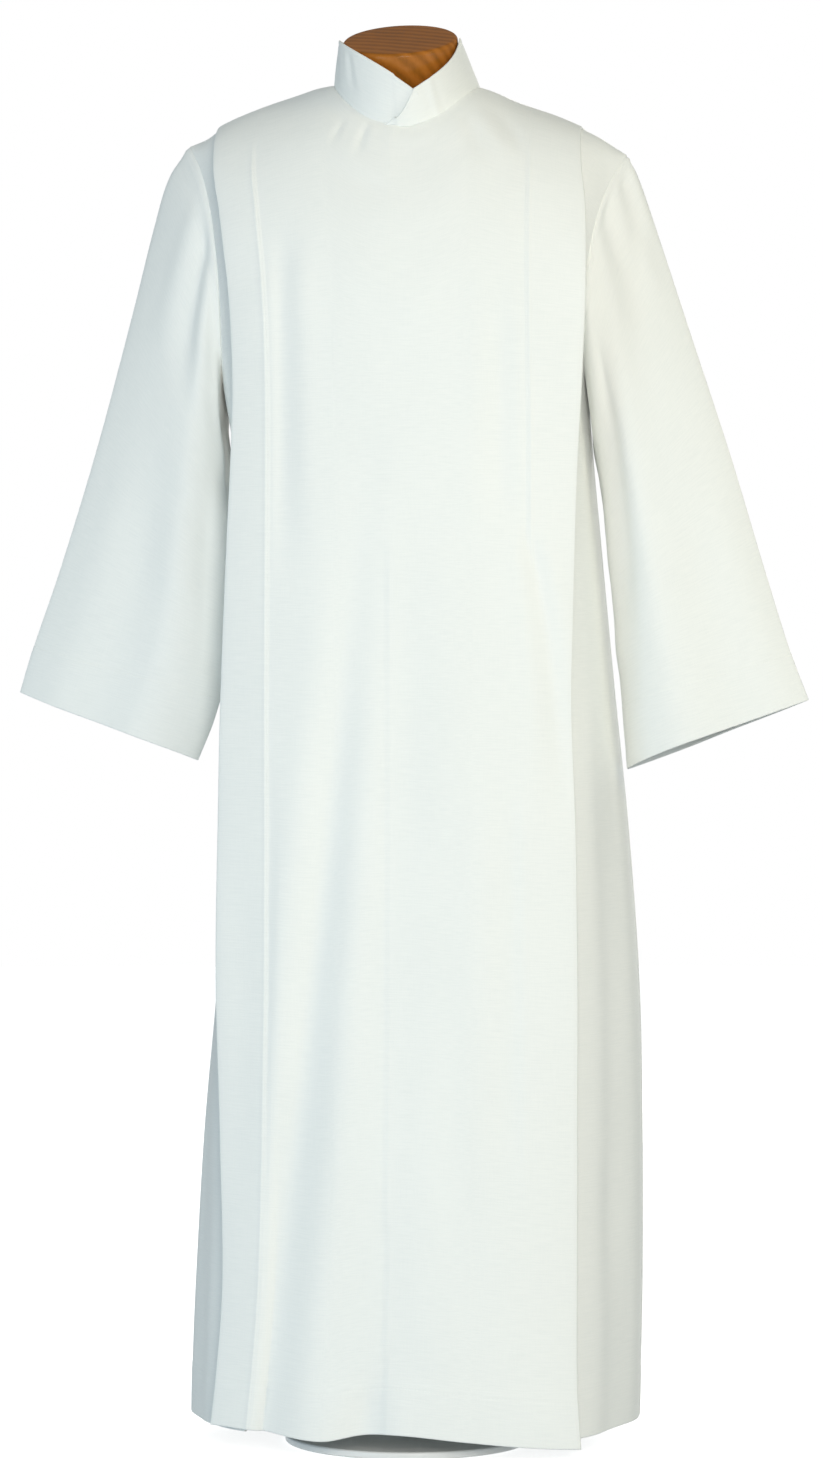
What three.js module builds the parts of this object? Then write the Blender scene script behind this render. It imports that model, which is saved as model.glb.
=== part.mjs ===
// An alb: a long white liturgical robe with a cross-over standing collar, two stitched front
// pleats and wide set-in sleeves, worn by a limbless dress form on a pole and a round base.
// Millimetres. X runs to the wearer's left, Y to the back and Z up. The floor is z = 0.

import * as THREE from "three";
import { mergeVertices } from "three/addons/utils/BufferGeometryUtils.js";

// A table: its columns' names, and a line of numbers for each of its rows.
function table(columns, lines) {
  const names = columns.split(" ");
  return lines.map((line) => Object.fromEntries(names.map((name, i) => [name, line[i]])));
}

// Driving dimensions

const cloth = 1.2;          // thickness of every cloth piece
const seamGap = 0.3;        // between pieces that meet
const seamHalf = 0.35;      // from a seam's line to the middle of a wall, whose end is slanted
const armpitZ = 1121;       // height where the sleeves begin to leave the body
const tipOut = 235;         // the armhole's highest point, from the centre
const tipZ = 1400;          // height where the shoulder seam's places across are read
const neckHalfWidth = 77;   // neckline, from the centre to the shoulder seam
const neckFront = 88;       // neckline, forwards of the shoulder seam
const neckBack = 42;        // neckline, behind the shoulder seam
const neckZ = 1361;         // height where the depths in front of and behind the neck are read
const pleatDepth = 48;      // from a pleat's outer fold to its stitched line, on average
const pleatRise = 4.2;      // top layer of a pleat above the side front
const underRise = 2;        // folded-under layer of a pleat above the side front
const sideBelow = 1;        // side front below the centre front at the stitching line
const domePower = 2.5;      // roundness of chest and upper back, by height
const domeRoot = 0.55;      // roundness of chest and upper back, by depth

// Outline of the body by height: half widths at the side seams (right and left of the wearer),
// pleat folds and pleat stitching lines, depths of the centre front, fold edges and back.
const bodyRows = table("z sideR sideL foldR foldL lineR lineL front edge back", [
  [10, 231, 244, 188, 196, 145, 150, 166, 130, 172],
  [80, 230, 246, 180, 192, 138, 146, 165, 129, 171],
  [180, 226, 248, 174, 192, 131, 145, 163, 127, 169],
  [330, 217, 248, 177, 192, 127, 144, 160, 125, 165],
  [480, 203, 245, 181, 192, 125, 143, 158, 124, 160],
  [640, 193, 234, 180, 190, 125, 143, 156, 122, 154],
  [790, 186, 219, 177, 186, 126, 143, 152, 120, 148],
  [950, 180, 204, 171, 189, 126, 143, 148, 118, 140],
  [1040, 183, 196, 167, 192, 126, 143, 146, 116, 134],
  [1121, 197, 192, 166, 196, 127, 142, 145, 115, 130],
  [1200, 205, 206, 170, 199, 130, 141, 145, 115, 132],
  [1290, 216, 220, 184, 197, 141, 139, 144, 114, 132],
  [1340, 228, 233, 195, 190, 149, 137, 143, 113, 131],
  [1400, 252, 257, 201, 183, 153, 134, 142, 112, 130],
]);

// Shoulder line: its height at each distance from the centre, for both shoulders.
const shoulderRows = table("out right left", [
  [0, 1446, 1444],
  [77, 1435, 1429],
  [115, 1423, 1411],
  [155, 1411, 1397],
  [195, 1395, 1380],
  [215, 1382, 1368],
  [235, 1374, 1355],
  [250, 1368, 1347],
]);

// Armhole edge: distance from the centre at each share of the way up from the armpit.
const armholeRows = table("up right left", [
  [0, 197, 192],
  [0.06, 194, 191],
  [0.2, 192, 192],
  [0.45, 194, 196],
  [0.7, 203, 205],
  [0.88, 217, 218],
  [1, 234, 232],
]);

// Hem height above the floor, across the front, and across the side fronts and back; its place
// across is read at nearHemZ.
const nearHemZ = 20;
const hemRows = table("x front rest", [
  [-250, 34, 30],
  [-188, 34, 30],
  [-130, 31, 29],
  [-68, 25, 27],
  [-30, 31, 27],
  [15, 33, 26],
  [80, 27, 26],
  [140, 21, 25],
  [196, 17, 25],
  [250, 17, 31],
]);

// Hanging folds: a trough runs from (xTop, zTop) to (xLow, zLow), bowed sideways by bow.
const frontFolds = table("xTop zTop xLow zLow bow width depth", [
  [-8, 1100, -118, 180, 10, 22, 9],
  [16, 950, 2, 10, 14, 20, 9],
  [108, 900, 122, 60, 6, 20, 5],
  [-104, 1270, -98, 900, 0, 16, 4],
]);
const backFolds = table("xTop zTop xLow zLow bow width depth", [
  [-60, 1180, -120, 10, -8, 24, 12],
  [-6, 1060, -18, 10, 8, 22, 10],
  [64, 1140, 100, 10, 8, 26, 13],
]);

// Sleeve edges seen from the front: outer edge (outX, outZ) and inner edge (inX, inZ) at each
// share of the sleeve's length, with its half depth and how far forwards its middle lies.
const sleeveRowsRight = table("along outX outZ inX inZ deep fore", [
  [0, 234, 1374, 197, 1121, 62, 0],
  [0.06, 256, 1343, 198, 1100, 62, 0],
  [0.16, 272, 1292, 196, 1062, 60, 2],
  [0.34, 299, 1184, 190, 998, 56, 6],
  [0.55, 334, 1052, 187, 912, 52, 10],
  [0.76, 373, 925, 191, 822, 50, 12],
  [0.9, 402, 842, 207, 764, 48, 12],
  [1, 417, 793, 225, 721, 46, 12],
]);
const sleeveRowsLeft = table("along outX outZ inX inZ deep fore", [
  [0, 232, 1355, 192, 1121, 62, 0],
  [0.06, 243, 1336, 194, 1100, 62, 0],
  [0.16, 262, 1282, 199, 1060, 60, 2],
  [0.34, 297, 1176, 208, 992, 56, 6],
  [0.55, 341, 1042, 217, 905, 52, 10],
  [0.76, 380, 912, 225, 815, 50, 12],
  [0.9, 405, 832, 231, 755, 48, 12],
  [1, 423, 784, 236, 712, 46, 12],
]);

// Dress form: half width, half depths in front and behind, by height.
const formRows = table("z wide front back", [
  [800, 140, 88, 88],
  [806, 150, 96, 96],
  [880, 160, 102, 108],
  [960, 150, 98, 100],
  [1040, 130, 94, 84],
  [1120, 142, 108, 92],
  [1210, 160, 116, 100],
  [1290, 172, 100, 100],
  [1340, 176, 76, 86],
  [1368, 170, 60, 68],
  [1386, 148, 52, 52],
  [1396, 118, 50, 40],
  [1405, 86, 50, 32],
  [1412, 64, 48, 26],
]);
const formSquare = 2.2;     // 2 is an ellipse, more is squarer
const neckRadius = 60.5;    // wooden neck block
const neckLean = 24;         // degrees that the neck block leans forwards
const neckTop = { x: -2, y: -45, z: 1477 };
const neckHeight = 52;
const poleRadius = 13;
const baseRadius = 130;
const baseThick = 8;

// Materials

function finish(color, roughness, metalness) {
  return new THREE.MeshStandardMaterial({ color, roughness, metalness });
}

const albCloth = finish(0xf1f3ee, 0.85, 0);
const formCloth = finish(0xd8d2c4, 0.9, 0);
const neckWood = finish(0x9a5c28, 0.25, 0);
const standMetal = finish(0xe6e6e2, 0.4, 0.2);

// Helpers

// Value of a table's column at a place between its rows, on a smooth curve through them.
function read(rows, axis, column, at) {
  const last = rows.length - 1;
  let i = 0;
  while (i < last - 1 && at > rows[i + 1][axis]) i += 1;
  const slope = (a, b) => (rows[b][column] - rows[a][column]) / (rows[b][axis] - rows[a][axis]);
  const span = rows[i + 1][axis] - rows[i][axis];
  const t = clamp((at - rows[i][axis]) / span, 0, 1);
  const start = slope(Math.max(i - 1, 0), i + 1) * span;
  const end = slope(i, Math.min(i + 2, last)) * span;
  const a = rows[i][column];
  const b = rows[i + 1][column];
  return a + t * (start + t * (3 * (b - a) - 2 * start - end + t * (2 * (a - b) + start + end)));
}

// Closed wall of cloth through a grid of points on its middle surface. place(i, j) gives the
// point of column i and row j. A tube closes on itself from its last column to its first.
function clothWall(columns, rows, place, tube = false) {
  const middle = [];
  for (let j = 0; j < rows; j += 1) {
    for (let i = 0; i < columns; i += 1) middle.push(place(i, j));
  }
  const at = (i, j) => middle[j * columns + (tube ? (i + columns) % columns : i)];
  const positions = [];
  for (const side of [0.5, -0.5]) {
    for (let j = 0; j < rows; j += 1) {
      for (let i = 0; i < columns; i += 1) {
        const low = tube ? i - 1 : Math.max(i - 1, 0);
        const high = tube ? i + 1 : Math.min(i + 1, columns - 1);
        const across = at(high, j).clone().sub(at(low, j));
        const up = at(i, Math.min(j + 1, rows - 1)).clone().sub(at(i, Math.max(j - 1, 0)));
        const out = across.cross(up).normalize();
        const point = at(i, j).clone().addScaledVector(out, side * cloth);
        positions.push(point.x, point.y, point.z);
      }
    }
  }
  const inner = columns * rows;
  const index = [];
  const quad = (a, b, c, d) => index.push(a, b, c, a, c, d);
  const spans = tube ? columns : columns - 1;
  const id = (i, j) => j * columns + (i % columns);
  for (let j = 0; j < rows - 1; j += 1) {
    for (let i = 0; i < spans; i += 1) {
      quad(id(i, j), id(i + 1, j), id(i + 1, j + 1), id(i, j + 1));
      quad(inner + id(i, j), inner + id(i, j + 1), inner + id(i + 1, j + 1), inner + id(i + 1, j));
    }
  }
  for (let i = 0; i < spans; i += 1) {
    const top = rows - 1;
    quad(id(i, 0), inner + id(i, 0), inner + id(i + 1, 0), id(i + 1, 0));
    quad(id(i, top), id(i + 1, top), inner + id(i + 1, top), inner + id(i, top));
  }
  if (!tube) {
    const end = columns - 1;
    for (let j = 0; j < rows - 1; j += 1) {
      quad(id(0, j), id(0, j + 1), inner + id(0, j + 1), inner + id(0, j));
      quad(id(end, j), inner + id(end, j), inner + id(end, j + 1), id(end, j + 1));
    }
  }
  const geometry = new THREE.BufferGeometry();
  geometry.setAttribute("position", new THREE.Float32BufferAttribute(positions, 3));
  geometry.setIndex(index);
  return geometry;
}

function named(name, geometry, material) {
  const mesh = new THREE.Mesh(geometry, material);
  mesh.name = name;
  return mesh;
}

const mix = THREE.MathUtils.lerp;
const smooth = THREE.MathUtils.smoothstep;
const clamp = THREE.MathUtils.clamp;
const body = (column, z) => read(bodyRows, "z", column, z);

// "R" is the wearer's right, where x is negative, and "L" the left.
const sign = (hand) => (hand === "R" ? -1 : 1);
const handOf = (x) => (x < 0 ? "R" : "L");
const wholeName = { R: "right", L: "left" };

function shoulderZ(x) {
  return read(shoulderRows, "out", wholeName[handOf(x)], Math.abs(x));
}

// Depth left at height z on the dome that closes over the shoulder line, 1 at the armpits.
function dome(x, z) {
  const share = clamp((z - armpitZ) / (shoulderZ(x) - armpitZ), 0, 1);
  return (1 - share ** domePower) ** domeRoot;
}

// Depth of a row of folds at (x, z): a soft trough that fades in from its top end.
function troughs(folds, x, z) {
  let sum = 0;
  for (const fold of folds) {
    const t = clamp((fold.zTop - z) / (fold.zTop - fold.zLow), 0, 1);
    const middle = mix(fold.xTop, fold.xLow, t) + 4 * fold.bow * t * (1 - t);
    const off = (x - middle) / (fold.width * (0.7 + 0.8 * t));
    sum += fold.depth * smooth(t, 0, 0.35) * Math.exp(-off * off);
  }
  return sum;
}

// Surfaces of the body

// How far forwards the centre front hangs: flat in the middle, falling back to its folds.
function frontDepth(x, z) {
  const foldX = body("fold" + handOf(x), z);
  const fall = (body("front", z) - body("edge", z)) * (Math.abs(x) / foldX) ** 2.6;
  return body("front", z) - fall;
}

function frontY(x, z) {
  const lineX = body("line" + handOf(x), z);
  const free = 1 - smooth(Math.abs(x), lineX - 20, lineX);
  return -(seamHalf + (frontDepth(x, z) - free * troughs(frontFolds, x, z)) * dome(x, z));
}

// A side front leaves the pleat's stitching line and turns round to the side seam.
function sideY(x, z) {
  const hand = handOf(x);
  const lineX = body("line" + hand, z);
  const turn = clamp((Math.abs(x) - lineX) / (body("side" + hand, z) - lineX), 0, 1);
  const depth = (frontDepth(x, z) - sideBelow) * Math.sqrt(1 - turn * turn);
  return -(seamHalf + depth * dome(x, z));
}

function backY(x, z) {
  const part = clamp(Math.abs(x) / body("side" + handOf(x), z), 0, 1);
  const round = (1 - part ** 2.4) ** (1 / 2.4);
  const depth = (body("back", z) - troughs(backFolds, x, z)) * round;
  return seamHalf + depth * dome(x, z);
}

// Share of the dome's height where the neckline crosses it, 1 outside the neck.
function neckShare(x, depth, neckDepth) {
  const part = Math.abs(x) / neckHalfWidth;
  if (part >= 1) return 1;
  const neckY = neckDepth * Math.sqrt(1 - part * part);
  return (1 - (neckY / depth) ** (1 / domeRoot)) ** (1 / domePower);
}

// Height of a grid row: even steps from hem to armpit, then round the dome to the top.
function rowZ(v, hemZ, topZ) {
  if (v <= 1) return mix(hemZ, armpitZ, v);
  return mix(armpitZ, topZ, Math.sin((v - 1) * Math.PI / 2));
}

// Rows of the body's grids, 0 at the hem, 1 at the armpits and 2 at the top edge.
const hemToArmpit = 11;
const armpitToTop = 6;
const bodyLevels = [];
for (let j = 0; j <= hemToArmpit; j += 1) bodyLevels.push(j / hemToArmpit);
for (let j = 1; j <= armpitToTop; j += 1) bodyLevels.push(1 + j / armpitToTop);

// Front, sides and back

// Columns of the centre front, from the folded-under edge on the right round to the left.
// from is the fold that a column is measured from, in is its distance, rise its height.
function pleatColumns(hand) {
  const turn = (pleatRise - underRise) / 2;
  const columns = [
    { from: hand, in: pleatDepth - 4, rise: underRise },
    { from: hand, in: pleatDepth / 2, rise: underRise },
    { from: hand, in: 4, rise: underRise },
    { from: hand, in: 0.3, rise: underRise + 0.3 * turn },
    { from: hand, in: 0.3, rise: pleatRise - 0.3 * turn },
    { from: hand, in: 4, rise: pleatRise },
    { from: hand, in: pleatDepth / 2, rise: pleatRise },
    { from: hand, in: pleatDepth - 1, rise: pleatRise },
    { from: hand, in: pleatDepth + 5, rise: 0 },
  ];
  return hand === "R" ? columns : columns.reverse();
}

const centreColumns = [];
for (let i = 1; i < 10; i += 1) centreColumns.push({ share: i / 10, rise: 0 });
const frontColumns = [...pleatColumns("R"), ...centreColumns, ...pleatColumns("L")];

// How far from the centre a pleat's place lies that is inside mm in from its fold, where the
// pleat is pleatDepth deep. By height, its depth is that from the fold to the stitched line.
function pleatX(hand, z, inside) {
  const fold = body("fold" + hand, z);
  return fold - inside * (fold - body("line" + hand, z)) / pleatDepth;
}

function frontX(column, z) {
  if (column.from) return sign(column.from) * pleatX(column.from, z, column.in);
  return mix(-pleatX("R", z, pleatDepth + 5), pleatX("L", z, pleatDepth + 5), column.share);
}

function frontPoint(column, v) {
  const topX = frontX(column, tipZ - 9);
  const share = neckShare(topX, frontDepth(topX, neckZ), neckFront);
  const topZ = mix(armpitZ, shoulderZ(topX), share);
  const nearX = frontX(column, rowZ(v, nearHemZ, topZ));
  const z = rowZ(v, read(hemRows, "x", "front", nearX), topZ);
  const x = frontX(column, z);
  return new THREE.Vector3(x, frontY(x, z), z);
}

// The front's point moved out from its surface, so that pleat layers lie on each other.
function raisedFront(column, v) {
  const step = 0.02;
  const point = frontPoint(column, v);
  const level = Math.min(v, 2 - step);
  const up = frontPoint(column, level + step).sub(frontPoint(column, Math.max(level - step, 0)));
  const lean = (frontY(point.x + 1, point.z) - frontY(point.x - 1, point.z)) / 2;
  const across = new THREE.Vector3(1, clamp(lean, -2, 2), 0);
  const out = across.cross(up).normalize();
  return point.addScaledVector(out, column.rise);
}

function centreFront() {
  const place = (i, j) => raisedFront(frontColumns[i], bodyLevels[j]);
  return named("centre_front", clothWall(frontColumns.length, bodyLevels.length, place), albCloth);
}

function armholeX(hand, z) {
  const up = (z - armpitZ) / (shoulderZ(sign(hand) * tipOut) - armpitZ);
  return read(armholeRows, "up", wholeName[hand], clamp(up, 0, 1));
}

// Outer edge of the body at height z: the side seam, then the armhole above the armpit.
function edgeX(hand, z) {
  return z <= armpitZ ? body("side" + hand, z) : armholeX(hand, z);
}

const sideTurns = 7;

function sideFront(hand) {
  const place = (i, j) => {
    const share = Math.sin((hand === "R" ? 1 - i / sideTurns : i / sideTurns) * Math.PI / 2);
    const inX = (z) => pleatX(hand, z, pleatDepth - 6);
    const across = (z) => sign(hand) * mix(inX(z), edgeX(hand, z), share);
    const hemZ = read(hemRows, "x", "rest", across(nearHemZ));
    const z = rowZ(bodyLevels[j], hemZ, shoulderZ(across(tipZ)));
    return new THREE.Vector3(across(z), sideY(across(z), z), z);
  };
  const wall = clothWall(sideTurns + 1, bodyLevels.length, place);
  return named("side_front_" + wholeName[hand], wall, albCloth);
}

const backSpans = 18;

function back() {
  const place = (i, j) => {
    const turn = Math.sin((0.5 - i / backSpans) * Math.PI);
    const hand = turn < 0 ? "R" : "L";
    const across = (z) => turn * edgeX(hand, z);
    const topX = across(tipZ);
    const topZ = mix(armpitZ, shoulderZ(topX), neckShare(topX, body("back", neckZ), neckBack));
    const z = rowZ(bodyLevels[j], read(hemRows, "x", "rest", across(nearHemZ)), topZ);
    return new THREE.Vector3(across(z), backY(across(z), z), z);
  };
  return named("back", clothWall(backSpans + 1, bodyLevels.length, place), albCloth);
}

// Sleeves

const sleeveTurns = 20;
const sleeveRings = [0, 0.05, 0.11, 0.18, 0.28, 0.4, 0.52, 0.65, 0.78, 0.9, 1];
const sleeveClear = 1.5;    // the sleeve's first ring lies just outside the armhole edge
const sleeveSettle = 0.34;  // share of the length over which the armhole's shape is left
const sleeveCrest = 0.38;   // where a sleeve is fullest, as a share of the way out from its inner edge

// Bulge of a sleeve's section, from -1 behind to 1 in front: bluff from the inner edge up to the
// crest, then sloping away nearly straight to the outer edge.
function sleeveBulge(angle) {
  const share = (1 + Math.cos(angle)) / 2;
  const rising = Math.sin(clamp(share / sleeveCrest, 0, 1) * Math.PI / 2) ** 0.7;
  const outwards = clamp((share - sleeveCrest) / (1 - sleeveCrest), 0, 1);
  return Math.sign(Math.sin(angle)) * rising * (1 - outwards ** 1.25) ** 0.85;
}

function armholePoint(hand, angle) {
  const z = mix(armpitZ, shoulderZ(sign(hand) * tipOut), (1 + Math.cos(angle)) / 2);
  const x = sign(hand) * armholeX(hand, z);
  const y = Math.sin(angle) > 0 ? sideY(x, z) : backY(x, z);
  return new THREE.Vector3(x + sign(hand) * sleeveClear, y, z);
}

function sleevePoint(hand, along, angle) {
  const rows = hand === "R" ? sleeveRowsRight : sleeveRowsLeft;
  const get = (column, at) => read(rows, "along", column, at);
  const ring = (at) => {
    const share = (1 + Math.cos(angle)) / 2;
    const x = sign(hand) * mix(get("inX", at), get("outX", at), share);
    const z = mix(get("inZ", at), get("outZ", at), share);
    return new THREE.Vector3(x, -get("fore", at) - get("deep", at) * sleeveBulge(angle), z);
  };
  const settle = 1 - smooth(along, 0, sleeveSettle);
  const start = armholePoint(hand, angle).sub(ring(0)).multiplyScalar(settle);
  return ring(along).add(start);
}

function sleeve(hand) {
  const place = (i, j) => {
    const turn = (hand === "R" ? 1 : -1) * i / sleeveTurns;
    return sleevePoint(hand, sleeveRings[j], turn * 2 * Math.PI);
  };
  const wall = clothWall(sleeveTurns, sleeveRings.length, place, true);
  return named("sleeve_" + wholeName[hand], wall, albCloth);
}

// Collar

const collarSpans = 30;
const collarRows = 4;
const collarV = 19;         // degrees from the centre front to the V, towards the left
const collarEnd = { overLow: -9, under: 24 };    // degrees from the centre front
const collarTop = { right: 65, left: 60.4, middle: -45, front: 61, back: 72, side: 1477, low: 1416 };
const collarRise = { right: 1.5, left: 0.85 };   // how early the edge rises from the V
const collarClear = 1.6;    // the collar's lower edge above the neckline
const collarOut = { over: 2.8, rest: 0.6 };      // out from the neck, where it crosses over and elsewhere

// Neckline point at an angle round the neck: 0 is the centre front and 90 the left side.
function necklinePoint(degrees) {
  const angle = THREE.MathUtils.degToRad(degrees);
  const x = neckHalfWidth * Math.sin(angle);
  const forward = Math.cos(angle) > 0;
  const depth = forward ? frontDepth(x, neckZ) : body("back", neckZ);
  const reach = forward ? neckFront : neckBack;
  const z = mix(armpitZ, shoulderZ(x), neckShare(x, depth, reach));
  return new THREE.Vector3(x, -reach * Math.cos(angle), z);
}

// The collar's top edge: level behind and at the sides, falling to a V at the centre front.
function collarEdge(degrees) {
  const angle = THREE.MathUtils.degToRad(degrees);
  const hand = wholeName[handOf(Math.sin(angle))];
  const away = degrees < 180 ? degrees - collarV : 360 + collarV - degrees;
  const toSide = clamp(away / (hand === "left" ? 90 - collarV : 90 + collarV), -0.3, 1);
  const rise = toSide < 0 ? toSide : 1 - (1 - toSide) ** collarRise[hand];
  const reach = Math.cos(angle) > 0 ? collarTop.front : collarTop.back;
  const y = collarTop.middle - reach * Math.cos(angle);
  return new THREE.Vector3(collarTop[hand] * Math.sin(angle), y, mix(collarTop.low, collarTop.side, rise));
}

function collar() {
  const place = (i, j) => {
    const v = j / (collarRows - 1);
    const first = mix(collarEnd.overLow, collarV, v);
    const degrees = mix(first, 360 + collarEnd.under, i / collarSpans);
    const low = necklinePoint(degrees);
    const high = collarEdge(degrees);
    const point = low.clone().lerp(high, v);
    point.z += (1 - v) * collarClear;
    const lift = mix(collarOut.over, collarOut.rest, smooth(degrees, 25, 90));
    const angle = THREE.MathUtils.degToRad(degrees);
    const out = new THREE.Vector3(Math.sin(angle), -Math.cos(angle), 0);
    return point.addScaledVector(out, lift);
  };
  return named("collar", clothWall(collarSpans + 1, collarRows, place), albCloth);
}

// Dress form and stand

// One closed body through level rings, with flat ends.
function loft(rows, turns) {
  const positions = [];
  const index = [];
  for (const row of rows) {
    for (let i = 0; i < turns; i += 1) {
      const angle = (i / turns) * 2 * Math.PI;
      const c = Math.cos(angle);
      const s = Math.sin(angle);
      const x = row.wide * Math.sign(c) * Math.abs(c) ** (2 / formSquare);
      const y = (s < 0 ? row.front : row.back) * Math.sign(s) * Math.abs(s) ** (2 / formSquare);
      positions.push(x, y, row.z);
    }
  }
  for (let j = 0; j < rows.length - 1; j += 1) {
    for (let i = 0; i < turns; i += 1) {
      const a = j * turns + i;
      const b = j * turns + (i + 1) % turns;
      index.push(a, b, b + turns, a, b + turns, a + turns);
    }
  }
  const top = (rows.length - 1) * turns;
  for (let i = 1; i < turns - 1; i += 1) {
    index.push(0, i + 1, i, top, top + i, top + i + 1);
  }
  const geometry = new THREE.BufferGeometry();
  geometry.setAttribute("position", new THREE.Float32BufferAttribute(positions, 3));
  geometry.setIndex(index);
  return geometry;
}

function torso() {
  return named("form_torso", loft(formRows, 28), formCloth);
}

// The block leans forwards about its top's centre, and its upper rim is eased.
function neckBlock() {
  const profile = [
    new THREE.Vector2(0, -neckHeight),
    new THREE.Vector2(neckRadius - 14, -neckHeight),
    new THREE.Vector2(neckRadius - 4, -neckHeight * 0.55),
    new THREE.Vector2(neckRadius, -4),
    new THREE.Vector2(neckRadius - 1.5, -1),
    new THREE.Vector2(neckRadius - 4, 0),
    new THREE.Vector2(0, 0),
  ];
  const geometry = new THREE.LatheGeometry(profile, 40);
  geometry.deleteAttribute("normal");
  geometry.deleteAttribute("uv");
  const mesh = named("neck_block", mergeVertices(geometry, 1e-4), neckWood);
  mesh.rotation.x = Math.PI / 2 + THREE.MathUtils.degToRad(neckLean);
  mesh.position.set(neckTop.x, neckTop.y, neckTop.z);
  return mesh;
}

function upright(name, radius, from, to, turns) {
  const mesh = named(name, new THREE.CylinderGeometry(radius, radius, to - from, turns), standMetal);
  mesh.rotation.x = Math.PI / 2;
  mesh.position.z = (from + to) / 2;
  return mesh;
}

const alb = new THREE.Group();
alb.add(centreFront(), sideFront("R"), sideFront("L"), back());
alb.add(sleeve("R"), sleeve("L"), collar());
alb.add(torso(), neckBlock());
alb.add(upright("pole", poleRadius, baseThick + seamGap, formRows[0].z - seamGap, 24));
alb.add(upright("base", baseRadius, 0, baseThick, 48));

export default alb;
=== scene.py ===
import math
import bpy
import numpy as np
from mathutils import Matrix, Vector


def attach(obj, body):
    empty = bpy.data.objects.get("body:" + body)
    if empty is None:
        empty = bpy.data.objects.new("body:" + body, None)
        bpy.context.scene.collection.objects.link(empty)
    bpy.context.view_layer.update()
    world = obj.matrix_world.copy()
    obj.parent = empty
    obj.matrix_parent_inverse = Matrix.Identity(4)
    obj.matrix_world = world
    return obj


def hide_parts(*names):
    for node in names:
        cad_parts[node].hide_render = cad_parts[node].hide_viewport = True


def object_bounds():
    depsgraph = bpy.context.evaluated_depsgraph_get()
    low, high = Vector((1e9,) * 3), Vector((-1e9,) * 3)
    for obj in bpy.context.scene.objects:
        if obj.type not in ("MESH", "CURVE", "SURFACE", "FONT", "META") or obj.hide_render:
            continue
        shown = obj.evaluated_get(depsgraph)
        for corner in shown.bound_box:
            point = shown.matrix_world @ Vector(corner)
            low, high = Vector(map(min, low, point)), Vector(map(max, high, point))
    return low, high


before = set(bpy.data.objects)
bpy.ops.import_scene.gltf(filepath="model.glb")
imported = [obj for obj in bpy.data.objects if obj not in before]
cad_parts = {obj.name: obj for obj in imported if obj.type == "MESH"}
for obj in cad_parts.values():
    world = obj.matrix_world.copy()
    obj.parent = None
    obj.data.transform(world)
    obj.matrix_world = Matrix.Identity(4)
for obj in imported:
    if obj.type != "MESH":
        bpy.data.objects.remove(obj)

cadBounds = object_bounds()
mm = (cadBounds[1].z - cadBounds[0].z) / 1498.9    # every size below is in the robe's own millimetres
print("frame loaded")

# camera: level, at mid height, a little round to the wearer's left

cameraSet = {"distance": 4500, "turn": 8, "height": 753, "aside": 3.7, "lens": 104.8}


def makeCamera(s):
    turn = math.radians(s["turn"])
    camera = bpy.data.objects.new("camera", bpy.data.cameras.new("camera"))
    camera.data.lens = s["lens"]
    x = s["distance"] * math.sin(turn) + s["aside"] * math.cos(turn)
    y = -s["distance"] * math.cos(turn) + s["aside"] * math.sin(turn)
    camera.location = (x * mm, y * mm, s["height"] * mm)
    camera.rotation_euler = (math.pi / 2, 0, turn)
    bpy.context.collection.objects.link(camera)
    bpy.context.scene.camera = camera


makeCamera(cameraSet)
bpy.context.scene.view_settings.view_transform = "Standard"


# materials

class Wire:
    # one output of a node; sums and products of wires and numbers add their own Math nodes
    def __init__(self, tree, socket=None):
        self.tree, self.socket = tree, socket

    def node(self, kind, settings, inputs, output=0):
        made = self.tree.nodes.new(kind)
        for name, value in settings.items():
            if name == "stops":
                ramp = made.color_ramp.elements
                while len(ramp) < len(value):
                    ramp.new(0.5)
                for element, (place, color) in zip(ramp, value):
                    element.position, element.color = place, color
            else:
                setattr(made, name, value)
        for name, value in inputs.items():
            if isinstance(value, Wire):
                self.tree.links.new(value.socket, made.inputs[name])
            else:
                made.inputs[name].default_value = value
        return Wire(self.tree, made.outputs[output])

    def maths(self, operation, a, b):
        return self.node("ShaderNodeMath", {"operation": operation}, {0: a, 1: b})

    def __add__(self, other):
        return self.maths("ADD", self, other)

    __radd__ = __add__

    def __sub__(self, other):
        return self.maths("SUBTRACT", self, other)

    def __rsub__(self, other):
        return self.maths("SUBTRACT", other, self)

    def __mul__(self, other):
        return self.maths("MULTIPLY", self, other)

    __rmul__ = __mul__

    def noise(self, vector, scale, detail=3, rough=0.55):
        # noise of its own scale along each axis of the coordinates
        placed = self.node("ShaderNodeMapping", {}, {"Vector": vector, "Scale": scale})
        inputs = {"Vector": placed, "Scale": 1, "Detail": detail, "Roughness": rough}
        return self.node("ShaderNodeTexNoise", {}, inputs)

    def blend(self, factor, first, second):    # of two colours
        return self.node("ShaderNodeMix", {"data_type": "RGBA"}, {0: factor, 6: first, 7: second}, 2)

    def bump(self, height, strength, distance):
        inputs = {"Height": height, "Strength": strength, "Distance": distance * mm}
        return self.node("ShaderNodeBump", {}, inputs)


def newFinish(name, constants):
    # a material with the values that are the same all over it, and a wire to add its nodes from
    finish = bpy.data.materials.new(name)
    finish.use_nodes = True
    shader = finish.node_tree.nodes["Principled BSDF"]
    for socket, value in constants.items():
        shader.inputs[socket].default_value = value

    def feed(socket, value):
        finish.node_tree.links.new(value.socket, shader.inputs[socket])

    return finish, Wire(finish.node_tree), feed


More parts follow.
